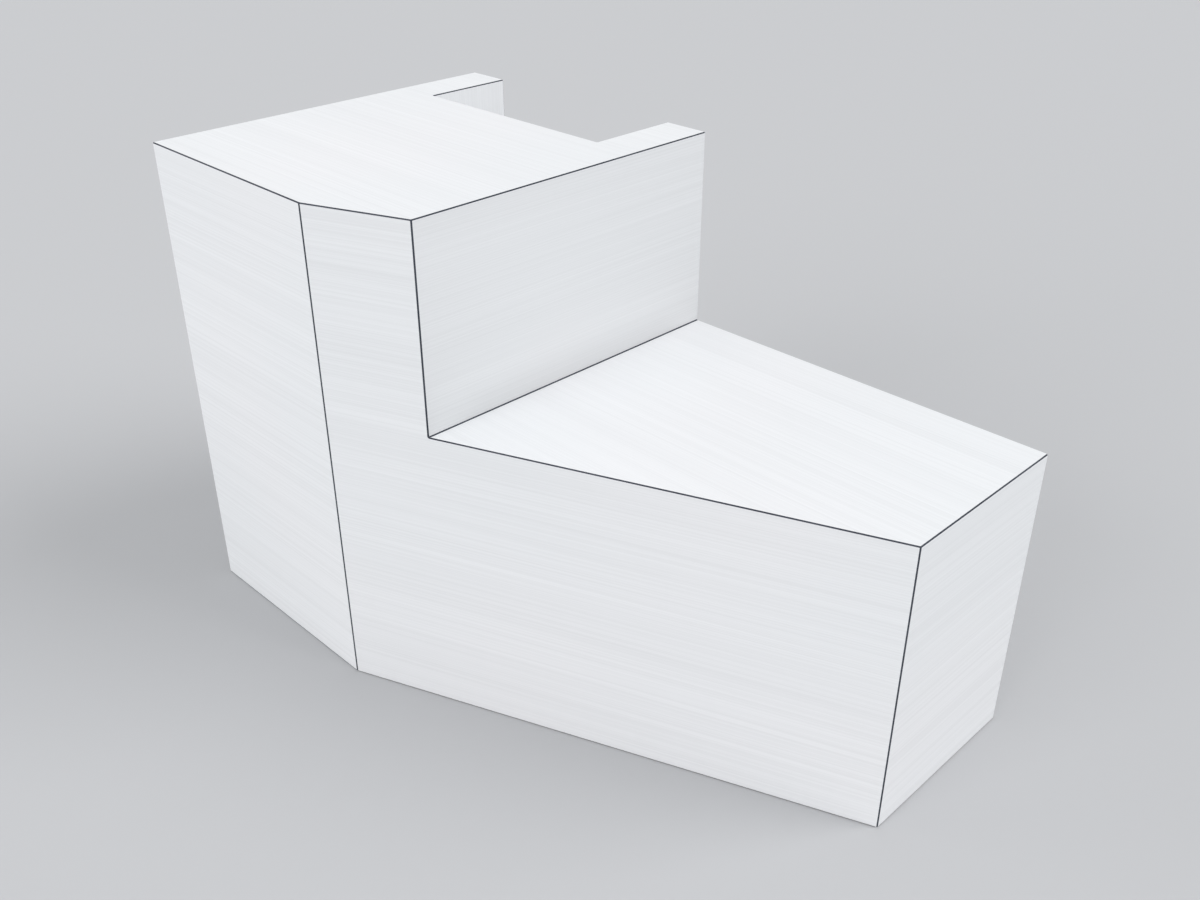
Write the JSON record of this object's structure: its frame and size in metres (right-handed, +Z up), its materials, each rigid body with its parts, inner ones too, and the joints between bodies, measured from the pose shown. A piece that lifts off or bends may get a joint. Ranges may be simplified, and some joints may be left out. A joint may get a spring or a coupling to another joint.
{
  "type": "step block",
  "caption": "Solid ground steel step block for workholding: tall tower with a clearance slot in its back, low step in front, and one slanted flank across both.",
  "frame": {"origin": "under the middle of the block's bounding box, on the plane of its base", "axes": "+X along the block from the tall heel face to the low nose face, +Y towards the back face with the clearance slot, +Z up"},
  "size_m": [0.075, 0.04, 0.05],
  "materials": {
    "ground_steel": "hardened steel, surface ground to a fine pale satin; edge breaks and inner corners are left dark"
  },
  "bodies": {
    "root": {"step_block": "ground_steel"}
  },
  "joints": []
}
